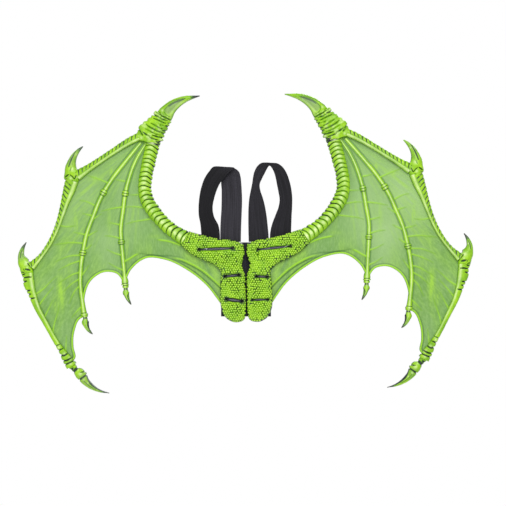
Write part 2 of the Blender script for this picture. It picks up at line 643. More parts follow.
def small_claw(name, side, stations, creases, waist, dark_tip):
    """The claw at the end of a finger, whose root ends at waist along it."""
    limb = Limb(stations, step=0.45, columns=40)
    cut, drawn = creased(limb, creases)
    limb.push(-1.0 * cut + 0.15 * rough_noise(limb.x, limb.z, 3, 57))
    below = step_between(waist - 2, waist + 4, limb.s)
    tip = step_between(limb.length * 0.6, limb.length * 0.98, limb.s)
    pale = bump_at(0.0, 0.25, limb.v) * (0.75 - 0.35 * below)
    neck = bump_at(waist, 3.0, limb.s)
    off = np.abs(limb.v)
    wash = most(
        drawn, tip * dark_tip, 0.5 * step_between(0.82, 1.0, off), 0.45 * neck * step_between(0.3, 0.9, off)
    )
    return limb.solid(name, side, {"wash": wash, "pale": pale, "grey": 0.3 * neck})


# ---------------------------------------------------------------- reliefs on an outline

# The share of the front's painted details that shows on the flat back, where it isn't all of it.
PLAIN_BACK = {"wash": 0.0, "pale": 0.0, "lime": 0.0, "brushed": 0.3}


def remembered(measure):
    """Measures a set of places once, since the front and the paint both ask about the same ones."""
    known = {}

    def ask(x, z):
        if len(x) not in known:
            known[len(x)] = measure(x, z)
        return known[len(x)]

    return ask


def relief(name, side, field, low, high, step, front, rear, attributes_at):
    """A closed sheet wherever field(x, z) is positive, cut cleanly along its edge.

    front gives its y at any place, rear is the y of its flat back, and attributes_at gives its
    attributes at any place. low and high bound it, and step is the spacing of its points."""
    xs = np.arange(low[0], high[0] + step, step)
    zs = np.arange(low[1], high[1] + step, step)
    x, z = np.meshgrid(xs, zs, indexing="ij")
    f = field(x, z)
    least = 0.08 * step
    f = np.where(np.abs(f) < least, least, f)
    keep = f > 0
    number = np.full(f.shape, -1)
    number[keep] = np.arange(keep.sum())
    px, pz = list(x[keep]), list(z[keep])
    whole = keep[:-1, :-1] & keep[1:, :-1] & keep[1:, 1:] & keep[:-1, 1:]
    i, j = np.nonzero(whole)
    corners = [number[i, j], number[i + 1, j], number[i + 1, j + 1], number[i, j + 1]]
    faces = np.stack(corners, axis=-1).tolist()
    some = keep[:-1, :-1] | keep[1:, :-1] | keep[1:, 1:] | keep[:-1, 1:]
    crossing = {}
    walls = []

    def cut(a, b):
        """The point where the edge between two grid corners crosses the outline."""
        key = (a, b) if a < b else (b, a)
        if key not in crossing:
            t = f[key[0]] / (f[key[0]] - f[key[1]])
            crossing[key] = len(px)
            px.append(x[key[0]] + t * (x[key[1]] - x[key[0]]))
            pz.append(z[key[0]] + t * (z[key[1]] - z[key[0]]))
        return crossing[key]

    for i, j in zip(*np.nonzero(some & ~whole)):
        ring = [(i, j), (i + 1, j), (i + 1, j + 1), (i, j + 1)]
        face, leaving = [], None
        for a, b in zip(ring, ring[1:] + ring[:1]):
            if keep[a]:
                face.append(int(number[a]))
            if keep[a] != keep[b]:
                face.append(cut(a, b))
                if keep[a]:
                    leaving = face[-1]
        faces.append(face)
        at = face.index(leaving)
        walls.append((leaving, face[(at + 1) % len(face)]))
    px, pz = np.array(px), np.array(pz)
    count = len(px)
    ahead = np.column_stack([px, front(px, pz), pz])
    behind = np.column_stack([px, np.full(count, rear), pz])
    faces += [[count + k for k in face[::-1]] for face in faces]
    faces += [[b, a, count + a, count + b] for a, b in walls]
    values = {}
    for key, value in attributes_at(px, pz).items():
        plain = value * PLAIN_BACK.get(key, 1.0) + (BACK_WASH if key == "wash" else 0.0)
        values[key] = np.r_[value, plain]
    points = place_on_side(np.vstack([ahead, behind]), side)
    return make_mesh(f"{side}_{name}", points, faces, values)


# ---------------------------------------------------------------- scale plate

PLATE_INNER = [(2.2, 68), (0.6, 49), (6, 29), (1.1, 8), (1, -12), (1.3, -32), (2.3, -62)]
PLATE_TOE = [(2.3, -62), (7, -74), (22, -78), (38, -71), (47.5, -54), (49.5, -30)]
PLATE_OUTER = [(49.5, -30), (47.5, 0), (46.5, 18), (56, 29), (80, 41), (101, 53), (120, 71)]
PLATE_END = [(120, 71), (112, 84), (102, 95)]
PLATE_TOP = [(102, 95), (80, 88), (50, 79.5), (20, 74.5), (2.2, 68)]
# Each slit is its two ends and its width. The long one is first.
SLITS = {
    "right": [((22, 56.5), (83, 63), 4.2), ((19, 7), (40, 6), 4.6), ((11, -37), (41, -36), 3.8)],
    "left": [((22, 60), (85, 60), 5.0), ((12, 10), (39, 8.5), 5.2), ((9, -39), (38, -34), 6.2)],
}
VENT = (22.5, 47.5)
VENT_RADIUS = 1.2
PLATE_ROUND = 11       # how far in from its outline the plate is still rising
PLATE_EDGE = 3.2       # about how thick it is at the outline
PLATE_RISE = 8.3       # how much thicker the middle is
BEAD_SPACING = 4.4
BEAD_JITTER = 0.72     # how far a bead's middle may stray each way
BEAD_ROUND = 2.7       # radius at which a bead's dome comes down to the plate
BEAD_RISE = 2.4


def bead_sites(shape, seed):
    """Scattered middles for the beads: a loose triangular pattern inside the outline."""
    rng = np.random.default_rng(seed)
    rows = np.arange(-84, 104, 0.87 * BEAD_SPACING)
    sites = []
    for k, z in enumerate(rows):
        x = np.arange(-4, 128, BEAD_SPACING) + (k % 2) * BEAD_SPACING / 2
        sites.append(np.column_stack([x, np.full(len(x), z)]))
    sites = np.vstack(sites)
    lean = 1.3 * np.column_stack([
        rough_noise(sites[:, 0], sites[:, 1], 24, seed), rough_noise(sites[:, 0], sites[:, 1], 24, seed + 5),
    ])
    sites = sites + 2.2 * lean + rng.uniform(-BEAD_JITTER, BEAD_JITTER, sites.shape)
    return sites[depth_inside(shape, sites[:, 0], sites[:, 1]) > 0.1]


def nearest_bead(x, z, sites):
    """The nearest bead at each place: how far its middle is, how much farther the next is, and which."""
    near, gap = np.zeros(x.shape), np.zeros(x.shape)
    number = np.zeros(x.shape, int)
    batch = 4000
    for start in range(0, len(x), batch):
        part = slice(start, start + batch)
        away = np.hypot(x[part, None] - sites[None, :, 0], z[part, None] - sites[None, :, 1])
        two = np.argpartition(away, 1, axis=1)[:, :2]
        rows = np.arange(len(two))
        first = away[rows, two[:, 0]]
        second = away[rows, two[:, 1]]
        swap = second < first
        near[part] = np.minimum(first, second)
        gap[part] = np.abs(second - first)
        number[part] = np.where(swap, two[:, 1], two[:, 0])
    return near, gap, number


def scale_plate(name, side):
    """The thick plate by the spine, covered in beads, with three slits and a small vent."""
    shape = outline(PLATE_INNER, PLATE_TOE, PLATE_OUTER, PLATE_END, PLATE_TOP, step=2)
    slits = SLITS[side]
    seed = 61 if side == "right" else 67
    sites = bead_sites(shape, seed)

    def slit_room(x, z):
        """Distance to the nearest slit's edge, which widens and narrows a little, or to the vent's."""
        room = np.hypot(x - VENT[0], z - VENT[1]) - VENT_RADIUS
        for start, end, width in slits:
            away, where = distance_to([start, end], x, z)
            opening = width / 2 * (0.7 + 0.45 * np.sin(math.pi * where) ** 0.5)
            room = np.minimum(room, away - opening - 0.25 * np.sin(9 * where + start[0]))
        return room

    def slit_ends(x, z):
        """The dark wash that gathers at the ends of the slits."""
        dark = np.zeros(x.shape)
        for start, end, width in slits:
            for at in (start, end):
                dark = most(dark, bump_at(0, width, np.hypot(x - at[0], z - at[1])))
        return dark

    def field(x, z):
        return np.minimum(depth_inside(shape, x, z), slit_room(x, z))

    tall = np.random.default_rng(seed + 1).uniform(0.7, 1.15, len(sites))

    @remembered
    def parts(x, z):
        """What the relief and the paint share.

        They are the depth inside, the rounded edge, the lips of the slits, the distances to the beads,
        their domes, where they are worn, and the distance to each one's highlight."""
        depth = depth_inside(shape, x, z)
        edge = np.clip(depth, 0, PLATE_ROUND) / PLATE_ROUND
        lip = step_between(0, 2.2, slit_room(x, z))
        near, gap, number = nearest_bead(x, z, sites)
        dome = np.sqrt(np.maximum(1 - (near / BEAD_ROUND) ** 2, 0)) * step_between(-0.3, 1.3, gap)
        lit = np.hypot(x - sites[number, 0] + 0.6, z - sites[number, 1] - 0.6)
        worn = step_between(0.35, 0.75, value_noise(x, z, 19, 73 if side == "right" else 79))
        return depth, edge, lip, near, gap, dome * tall[number], worn * step_between(4, 14, depth), lit

    def front(x, z):
        _, edge, lip, _, _, dome, worn, _ = parts(x, z)
        body = PLATE_EDGE + PLATE_RISE * np.sqrt(1 - (1 - edge) ** 2)
        swell = 0.8 * rough_noise(x, z, 22, 71)
        beads = BEAD_RISE * dome * (0.55 + 0.45 * edge) * (1 - 0.35 * worn) * (0.3 + 0.7 * lip)
        return BACK - body + 1.5 * (1 - lip) - beads - swell

    def attributes(x, z):
        depth, edge, lip, near, gap, _, worn, lit = parts(x, z)
        seams = 1 - step_between(0.1, 1.5, gap)
        corners = step_between(2.05, 2.65, near)
        uneven = 0.6 + 0.6 * value_noise(x, z, 9, seed + 11)
        between = most(0.36 * seams, 1.3 * corners) * (1 - 0.35 * worn) * uneven
        shaded = 0.36 * step_between(1.2, 2.9, lit) * (1 - 0.4 * worn)
        wash = most(between, shaded) * (1 - 0.3 * step_between(-5, -40, z))
        wash = most(wash, np.clip(0.7 * seams + corners, 0, 1) * step_between(6, 1.0, depth))
        wash = most(
            wash * (0.4 + 0.6 * lip), slit_ends(x, z),
            0.45 * step_between(0.9, 0.0, slit_room(x, z)), 0.7 * step_between(0.12, 0.0, edge),
        )
        pale = step_between(1.45, 0.3, lit) * (1 - 0.2 * worn) * (0.3 + 0.7 * lip)
        return {"wash": wash, "pale": pale}

    return relief(name, side, field, (-1, -82), (124, 99), 0.55, front, BACK - 0.12, attributes)


# ---------------------------------------------------------------- membrane

UNDER_ARM = [(104, 78), (138, 101), (166, 134), (180, 170), (178, 200), (172, 226), (164, 262)]
UNDER_INNER = [(164, 262), (192, 272), (235, 250), (280, 223), (304, 208)]
UNDER_MIDDLE = [(304, 208), (318, 190), (335, 147), (363, 82), (398, 41)]
UNDER_OUTER = [(398, 41), (404, 14), (391, -33), (362, -94), (333, -141)]
SCALLOPS = [
    [(333, -141), (324, -133), (326, -110), (323.5, -84), (309, -58), (300, -56)],
    [(300, -56), (301.5, -20), (288, 11), (262, 25.5), (240, 21.5), (226, 2)],
    [(226, 2), (213, 28), (184, 48), (148, 43.5), (108, 22.5), (74, -7), (49, -42)],
]
UNDER_PLATE = [(49, -42), (43, -38), (42, 15), (50, 33), (82, 49), (104, 78)]

VEINS = [
    [(188, 167), (210, 167)], [(184, 142), (200, 145), (220, 145)],
    [(172, 121), (188, 119), (205, 117), (219, 113)], [(232, 113), (249, 117)],
    [(231, 87), (243, 91), (259, 93)], [(230, 56), (242, 60), (256, 67)],
    [(228, 28), (239, 33), (254, 42)], [(226, 145), (245, 143), (264, 139)],
    [(218, 193), (236, 197)], [(279, 125), (264, 134)], [(289, 95), (273, 103)],
    [(295, 70), (284, 77)], [(304, 22), (291, 39)], [(249, 191), (266, 199), (288, 207)],
    [(277, 151), (290, 158), (303, 161)], [(283, 132), (298, 136)], [(296, 97), (316, 102)],
    [(300, 81), (322, 83), (355, 80)], [(306, 59), (327, 58), (352, 49)],
    [(309, 48), (326, 43), (348, 33)], [(308, 27), (321, 24), (334, 17), (348, 9)],
    [(309, 15), (322, 8), (342, -9)], [(308, 3), (318, -6), (331, -30)],
    [(306, -36), (317, -45), (327, -57)], [(341, -121), (338, -90)],
    [(344, 116), (328, 113), (313, 114)], [(392, -10), (380, -3), (366, 10), (353, 21)],
    [(386, -30), (368, -8), (358, 2)], [(377, -53), (370, -40), (361, -23)],
    [(363, -82), (360, -68), (354, -50), (349, -33)],
]
# Folds by the root of the wing: raised ridges, and shaded creases.
NEAR_RIDGE = [(46, -11), (60, 3), (80, 21), (100, 34), (120, 43.5), (144, 48.5)]
FAR_RIDGE = [(225, 43.5), (214, 49), (205, 54.5), (196, 58)]
ARM_RIM = [(120, 70), (128, 73.5), (141, 78), (153, 80.5), (166, 82.5)]
FOLD_SHADE = [(104, 40), (122, 47), (140, 50.5), (160, 51.5), (182, 54.5), (196, 57), (206, 52), (214, 46.5)]
EDGE_SHADE = [(58, -22), (74, -1), (92, 15), (112, 29.5), (140, 42), (160, 47)]
# Patches where the web was dry-brushed with lime: x, z, half width, half height and strength.
BRUSHED = [
    (345, -8, 7, 34, 1.0), (350, -30, 12, 22, 0.6), (312, 122, 4, 20, 0.9), (240, 211, 10, 8, 0.7),
    (272, 200, 14, 9, 0.6), (250, 116, 5, 26, 0.5), (331, 25, 10, 30, 0.35), (165, 88, 14, 5, 0.4),
]
FAN_CENTRE = (182, 268)  # the creases of the web fan out from here
RIM_HALF = 2.4         # half width of the rounded rim along the free edge
VEIN_WIDTH = 1.5


def membrane(name, side):
    """The thin web between the fingers, with its rims, veins and fanned creases."""
    shape = outline(
        UNDER_ARM, UNDER_INNER, UNDER_MIDDLE, UNDER_OUTER, *SCALLOPS, UNDER_PLATE, step=3
    )
    rims = [smooth_line(line, 3) for line in SCALLOPS]
    veins = [smooth_line(line, 3) for line in VEINS]
    bones = [smooth_line(line, 5) for line in (FINGER_2, FINGER_3)]
    frame_line = outline(UNDER_ARM, UNDER_INNER, UNDER_MIDDLE, UNDER_OUTER, step=5)

    @remembered
    def parts(x, z):
        """What the relief and the paint share.

        They are the distance to the free edge, the veins, the shaded folds, the distances to a thin
        finger and to any limb, and the place in the fan."""
        rim = np.min([distance_to(line, x, z)[0] for line in rims], axis=0)
        vein = np.zeros(x.shape)
        for line in veins:
            away, where = distance_to(line, x, z)
            vein = most(vein, bump_at(0, VEIN_WIDTH, away) * (1 - 0.75 * where))
        for line in (NEAR_RIDGE, FAR_RIDGE, ARM_RIM):
            away, where = distance_to(smooth_line(line, 3), x, z)
            vein = most(vein, bump_at(0, 1.7, away) * step_between(1.0, 0.75, where))
        near, where = distance_to(smooth_line(NEAR_RIDGE, 3), x - 1.5, z + 3.2)
        gully = bump_at(0, 1.6, near) * step_between(1.0, 0.7, where)
        for line, depth in ((FOLD_SHADE, 0.6), (EDGE_SHADE, 0.35)):
            away, where = distance_to(smooth_line(line, 3), x, z)
            gully = most(gully, depth * bump_at(0, 1.9, away) * np.sin(math.pi * where) ** 0.5)
        bone = np.min([distance_to(line, x, z)[0] for line in bones], axis=0)
        limb = np.minimum(bone, distance_to(frame_line, x, z)[0])
        radius = np.hypot(x - FAN_CENTRE[0], z - FAN_CENTRE[1])
        turn = np.arctan2(z - FAN_CENTRE[1], x - FAN_CENTRE[0])
        return rim, vein, gully, bone, limb, radius, turn

    def front(x, z):
        rim, vein, gully, bone, limb, radius, turn = parts(x, z)
        bead = np.sqrt(np.maximum(1 - ((rim - 1.6) / RIM_HALF) ** 2, 0)) * (rim < 4)
        crease = rough_noise(turn * 38, radius / 90, 1.0, 81, 2) * step_between(20, 90, radius)
        climb = 1.5 * bump_at(0, 7, bone) + 0.8 * bump_at(8, 7, limb)
        sag = 0.9 * step_between(8, 34, limb)
        return SKIN_FRONT - 1.5 * bead - 1.2 * vein + 0.7 * gully - climb + sag - 0.55 * crease

    def attributes(x, z):
        rim, vein, gully, bone, _, radius, turn = parts(x, z)
        lime = most(step_between(3.7, 2.6, rim) * step_between(0.1, 1.1, rim), 0.95 * vein)
        wash = most(
            0.55 * bump_at(4.7, 1.2, rim) + 0.8 * gully + 0.55 * bump_at(4.6, 1.5, bone),
            0.75 * step_between(1.0, 0.1, rim), 0.35 * bump_at(0.32, 0.16, vein),
        )
        glow = bump_at(0, 1, np.hypot((x - 258) / 62, (z - 128) / 108))
        glow = np.clip(glow + 0.35 * bump_at(0, 1, np.hypot((x - 320) / 40, (z - 150) / 50)), 0, 1)
        glow = glow * (1.0 if side == "right" else 0.45)
        broad = value_noise(turn * 9, radius / 55, 1.0, 83)
        streak = value_noise(turn * 46, radius / 34, 1.0, 85)
        brushed = 0.95 * broad * streak + 0.15 * streak - 0.16
        upright = 0.35 + 1.1 * value_noise(x, z / 14, 2.6, 89)
        for at_x, at_z, half_x, half_z, strength in BRUSHED:
            reach = np.hypot((x - at_x) / half_x, (z - at_z) / half_z)
            brushed = most(brushed, strength * bump_at(0, 1, reach) * upright)
        return {
            "wash": np.clip(wash, 0, 1), "lime": lime, "brushed": np.clip(brushed, 0, 1),
            "cloud": value_noise(x, z, 42, 87), "glow": glow, "fan_turn": turn * 60, "fan_reach": radius / 14,
        }

    def field(x, z):
        return depth_inside(shape, x, z)

    return relief(name, side, field, (40, -146), (408, 276), 1.15, front, BACK - 0.3, attributes)


# ---------------------------------------------------------------- straps and panel

# Each station of a loop is (x, y, z) on one edge of the elastic and (x, y, z) on the other.
LOOPS = {"right": [
    ((5, -0.4, 71), (42.5, -0.4, 71)), ((4.6, -0.4, 84), (42, -0.5, 84)),
    ((4.3, -0.3, 100), (40.5, -0.8, 100)), ((4.2, -0.2, 118), (38.5, -2, 118)),
    ((4.6, 0, 136), (35.5, -4.5, 136)), ((6, 0.3, 152), (31.5, -7, 152)),
    ((9, 0.3, 168), (26.5, -9, 167)), ((11.5, -1.0, 180), (25.5, -8, 178)),
    ((13, -4.0, 191), (29.5, -4.5, 188)), ((16, -7, 202.5), (34.5, -1.5, 198)),
    ((21.5, -9, 212), (38.5, 0, 206)), ((29, -10.5, 217.5), (41.5, 0.2, 211)),
    ((38, -11.5, 218), (43.5, 0.3, 213.6)), ((47, -11.5, 217.5), (45.5, 0.3, 213.2)),
    ((57, -10, 217), (48.5, 0.2, 208)), ((66, -9, 212), (52, 0, 201)),
    ((73.5, -7.5, 202.5), (55, -1, 191)), ((79.5, -6, 188.5), (57.5, -1.5, 178)),
    ((84, -4.5, 171), (60.5, -1.5, 163)), ((86, -3, 155), (62.5, -1.5, 150)),
    ((86, -2, 138), (60.5, -1.5, 136)), ((85, -1, 120), (54.5, -1.2, 120)),
    ((84.5, -0.5, 104), (48.5, -0.8, 104)), ((84, -0.4, 88), (45, -0.5, 88)),
    ((84, -0.4, 71), (44.3, -0.4, 71)),
], "left": [
    ((-83, -0.4, 71), (-48.5, -0.4, 71)), ((-83.5, -0.3, 86), (-48.8, -0.6, 86)),
    ((-85, -0.2, 104), (-51.5, -2, 102)), ((-88, 0, 120), (-59.5, -4, 118)),
    ((-88.5, 0.2, 136), (-62, -6, 134)), ((-87, 0.2, 154), (-59, -7.5, 152)),
    ((-83.5, 0, 172), (-53, -9, 170)), ((-77.5, -0.5, 189), (-46, -10.5, 183)),
    ((-69, -1.5, 202), (-38.5, -10.5, 192)), ((-60, -3, 211), (-32, -10, 199)),
    ((-46, -4.5, 211), (-27, -9, 203.3)), ((-34, -5.5, 209.5), (-23.5, -7, 205.5)),
    ((-26, -5.5, 208.4), (-22.5, -4, 205.8)), ((-19.5, -4.8, 206.8), (-25, -0.2, 206.2)),
    ((-14, -3.4, 202.5), (-32, 0.5, 203.5)), ((-10.5, -2, 193.5), (-40, 0.5, 197.5)),
    ((-9, -1.2, 182), (-46, 0.5, 185)), ((-8, -0.6, 168), (-45.5, 0.4, 168)),
    ((-7.3, -0.3, 150), (-45.5, 0.2, 150)), ((-7.8, -0.2, 130), (-46, 0, 130)),
    ((-8.6, -0.3, 110), (-47.3, -0.2, 110)), ((-9.3, -0.4, 90), (-48, -0.4, 90)),
    ((-9.6, -0.4, 71), (-47.8, -0.4, 71)),
]}
ELASTIC_WIDTH = 38
ELASTIC_RIBS = 15
PLY = 1.3              # thickness of the elastic
LOOP_STEP = 1.6        # spacing of a loop's points along it
LOOP_COLUMNS = 46
SLIT_FILL = 8.0        # how far the cloth behind a slit stands forward in it
SLIT_SPREAD = 3.6      # how wide that bulge is, each side of the slit's middle line
STITCH_PITCH = 2.6
# x of the edges of each sewn end, the one under the panel first. They overlap a little behind the slit.
SEWN_ENDS = {"right": ((5.5, 45.8), (44.6, 88.5)), "left": ((-47.8, -8), (-91, -46.6))}


def ribbon(name, front, rear, across, along, tone):
    """A closed strip from the grids of its two faces, with what its weave needs to know."""
    ring = np.concatenate([front, rear[:, ::-1]], axis=1)
    rows, around, _ = ring.shape
    faces = grid_faces(rows, around, wrap=True)
    faces.append(list(range(around))[::-1])
    faces.append([(rows - 1) * around + k for k in range(around)])
    values = {
        "weave_across": np.r_[across, across[::-1]][None, :], "weave_along": along[:, None], "tone": tone,
    }
    values = {key: np.broadcast_to(value, (rows, around)) for key, value in values.items()}
    return make_mesh(name, ring.reshape(-1, 3), faces, values)


def strap_loop(side):
    """A loop of woven elastic: a ribbon between its two edges, with ribs along it."""
    table = np.array([a + b for a, b in LOOPS[side]], float)
    middle = (table[:, :3] + table[:, 3:]) / 2
    knots = np.r_[0, np.cumsum(np.linalg.norm(np.diff(middle, axis=0), axis=1))]
    at = np.linspace(0, knots[-1], int(knots[-1] / LOOP_STEP))
    a = np.column_stack([hermite(knots, column, at) for column in table[:, :3].T])
    b = np.column_stack([hermite(knots, column, at) for column in table[:, 3:].T])
    t = np.linspace(0, 1, LOOP_COLUMNS)
    span = np.linalg.norm(b - a, axis=1)
    sheet = a[:, None] * (1 - t)[None, :, None] + b[:, None] * t[None, :, None]
    normal = np.cross(np.gradient(sheet, axis=0), np.gradient(sheet, axis=1))
    normal /= np.linalg.norm(normal, axis=2)[..., None]
    cup = np.clip((ELASTIC_WIDTH - span) * 0.12, 0, 2.6)[:, None] * np.sin(math.pi * t)[None, :]
    rib = 0.09 * np.sin(2 * math.pi * t * ELASTIC_RIBS)[None, :] + 0.04 * np.sin(at * 3.9)[:, None]
    lift = np.where(normal[..., 1] < 0, 1.0, -1.0)
    sheet = sheet + normal * (cup * lift)[..., None]
    edge = np.sqrt(np.maximum(1 - ((2 * t - 1) ** 16), 0))[None, :]
    half = normal * ((PLY / 2 + rib) * edge)[..., None]
    first, last = (0.5, 0.3) if side == "right" else (0.05, 1.0)
    tone = first + (last - first) * step_between(0.42, 0.62, at / at[-1])
    return ribbon(f"{side}_strap_loop", sheet + half, sheet - half, t * ELASTIC_WIDTH, at, tone[:, None])


def webbing_block(name, low, high, slits=(), tone=0.45):
    """A flat length of elastic or woven cloth with rounded edges and raised ribs.

    Its front bulges into each slit that lies over it."""
    low, high = np.array(low, float), np.array(high, float)
    columns = max(int((high[0] - low[0]) / 0.8), 4)
    rows = max(int((high[2] - low[2]) / (0.7 if slits else 1.5)), 4)
    x = np.linspace(low[0], high[0], columns)
    z = np.linspace(low[2], high[2], rows)
    half = (high[1] - low[1]) / 2
    t = np.linspace(-1, 1, columns)
    thick = 0.94 * half * np.sqrt(np.maximum(1 - t**24, 0))
    rib = 0.05 * np.sin(x * 2.4)[None, :] + 0.03 * np.sin(z * 3.1)[:, None]
    px = np.broadcast_to(x[None, :], (rows, columns))
    pz = np.broadcast_to(z[:, None], (rows, columns))
    middle = (high[1] + low[1]) / 2
    seen = np.zeros((rows, columns))
    for start, end in slits:
        away, where = distance_to([start, end], px, pz)
        seen = most(seen, bump_at(0, SLIT_SPREAD, away) * np.sin(math.pi * np.clip(where, 0.03, 0.97)) ** 0.4)
    front = np.stack([px, middle - SLIT_FILL * seen - thick[None, :] - rib * 0.5, pz], axis=-1)
    rear = np.stack([px, middle + thick[None, :] + rib * 0.5, pz], axis=-1)
    return ribbon(name, front, rear, x, z, tone + 2 * np.concatenate([seen, 0 * seen], axis=1))


def node_box(node):
    """A CAD node's lowest and highest corners, in millimetres."""
    low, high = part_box(node)
    return np.array(low) / MM, np.array(high) / MM


def slits_of(side):
    """The three slits of a plate, each from end to end."""
    ends = [place_on_side(np.array([(a[0], 0, a[1]), (b[0], 0, b[1])], float), side)
            for a, b, _ in SLITS[side]]
    return [(tuple(pair[0, ::2]), tuple(pair[1, ::2])) for pair in ends]


def sewn_end(side, which):
    """A flat sewn end of a loop, which shows through the long slit."""
    low, high = node_box(f"{side}_strap_tails")
    layer = (low[1] + high[1]) / 2
    low[1], high[1] = (low[1], layer) if which == 0 else (layer, high[1])
    low[0], high[0] = SEWN_ENDS[side][which]
    name = f"{side}_sewn_end_{'near' if which == 0 else 'far'}"
    return webbing_block(name, low, high, slits_of(side)[:1], 1.0)


def back_panel(side):
    """Half of the woven panel, carried on across the fold to the centre strip."""
    low, high = node_box(f"{side}_back_panel")
    strip_low, strip_high = node_box("centre_fold_strip")
    if side == "right":
        low[0] = strip_high[0]
    else:
        high[0] = strip_low[0]
    return webbing_block(f"{side}_panel_cloth", low, high, slits_of(side)[1:])


def stitching(side):
    """Lock stitches along the box and cross that hold a sewn end."""
    low, high = node_box(f"{side}_panel_stitching")
    inset, radius, rings, sides = 0.45, 0.42, 7, 8
    x0, z0 = low[0] + inset, low[2] + inset
    x1, z1 = high[0] - inset, high[2] - inset
    runs = [
        ((x0, z0), (x1, z0)), ((x1, z0), (x1, z1)), ((x1, z1), (x0, z1)), ((x0, z1), (x0, z0)),
        ((x0, z0), (x1, z1)), ((x0, z1), (x1, z0)),
    ]
    points, faces = [], []
    for (ax, az), (bx, bz) in runs:
        length = math.hypot(bx - ax, bz - az)
        ux, uz = (bx - ax) / length, (bz - az) / length
        count = round(length / STITCH_PITCH)
        for k in range(count):
            start = (k + 0.12) * length / count
            reach = 0.76 * length / count
            first = len(points)
            for i in range(rings):
                t = i / (rings - 1)
                s = start + reach * t
                fat = radius * math.sin(math.pi * (0.08 + 0.84 * t)) ** 0.5
                rise = 0.3 * math.sin(math.pi * t) ** 0.6
                for j in range(sides):
                    turn = 2 * math.pi * j / sides
                    off, up = fat * math.cos(turn), fat * 0.55 * math.sin(turn)
                    points.append((ax + ux * s - uz * off, rise + up - 0.1, az + uz * s + ux * off))
            faces += grid_faces(rings, sides, first, wrap=True)
            faces.append([first + j for j in range(sides)][::-1])
            faces.append([first + (rings - 1) * sides + j for j in range(sides)])
    return make_mesh(f"{side}_stitches", np.array(points), faces)


# ---------------------------------------------------------------- materials

def linear(red, green, blue):
    """A colour from its usual 0 to 255 values."""
    values = (red / 255, green / 255, blue / 255)
    return tuple(v / 12.92 if v <= 0.04045 else ((v + 0.055) / 1.055) ** 2.4 for v in values) + (1.0,)


class Paint:
    """A material and short ways to add nodes to it."""

    def __init__(self, name):
        self.material = bpy.data.materials.new(name)
        self.material.use_nodes = True
        self.tree = self.material.node_tree
        self.shader = self.tree.nodes["Principled BSDF"]

    def put(self, socket, value):
        if isinstance(value, bpy.types.NodeSocket):
            self.tree.links.new(value, socket)
        else:
            socket.default_value = value

    def attribute(self, name):
        node = self.tree.nodes.new("ShaderNodeAttribute")
        node.attribute_name = name
        return node.outputs["Fac"]

    def math(self, operation, a, b=0.0, clamp=False):
        node = self.tree.nodes.new("ShaderNodeMath")
        node.operation = operation
        node.use_clamp = clamp
        self.put(node.inputs[0], a)
        self.put(node.inputs[1], b)
        return node.outputs[0]

    def mix(self, share, a, b):
        node = self.tree.nodes.new("ShaderNodeMix")
        node.data_type = "RGBA"
        self.put(node.inputs["Factor"], share)
        self.put(node.inputs[6], a)
        self.put(node.inputs[7], b)
        return node.outputs[2]

    def place(self, scale=(1, 1, 1)):
        """Object coordinates, stretched."""
        at = self.tree.nodes.new("ShaderNodeTexCoord")
        node = self.tree.nodes.new("ShaderNodeMapping")
        self.tree.links.new(at.outputs["Object"], node.inputs["Vector"])
        node.inputs["Scale"].default_value = scale
        return node.outputs[0]

    def vector(self, x, y, z=0.0):
        node = self.tree.nodes.new("ShaderNodeCombineXYZ")
        for socket, value in zip(node.inputs, (x, y, z)):
            self.put(socket, value)
        return node.outputs[0]

    def noise(self, vector, scale, detail=4.0, rough=0.55):
        node = self.tree.nodes.new("ShaderNodeTexNoise")
        self.put(node.inputs["Vector"], vector)
        self.put(node.inputs["Scale"], scale)
        self.put(node.inputs["Detail"], detail)
        self.put(node.inputs["Roughness"], rough)
        return node.outputs["Fac"]

    def span(self, value, low, high, new_low=0.0, new_high=1.0):
        node = self.tree.nodes.new("ShaderNodeMapRange")
        for socket, v in zip(node.inputs[:5], (value, low, high, new_low, new_high)):
            self.put(socket, v)
        return node.outputs["Result"]

    def bump(self, height, strength, distance):
        node = self.tree.nodes.new("ShaderNodeBump")
        self.put(node.inputs["Strength"], strength)
        self.put(node.inputs["Distance"], distance)
        self.put(node.inputs["Height"], height)
        self.tree.links.new(node.outputs["Normal"], self.shader.inputs["Normal"])

    def finish(self, **values):
        for key, value in values.items():
            self.put(self.shader.inputs[key.replace("_", " ")], value)
        return self.material


LIME = linear(160, 212, 20)
LIME_DEEP = linear(122, 180, 16)
GREEN_DARK = linear(60, 108, 22)
NEAR_BLACK = linear(24, 32, 36)
PALE_LIME = linear(228, 246, 176)
BEAD_LIME = linear(220, 252, 112)


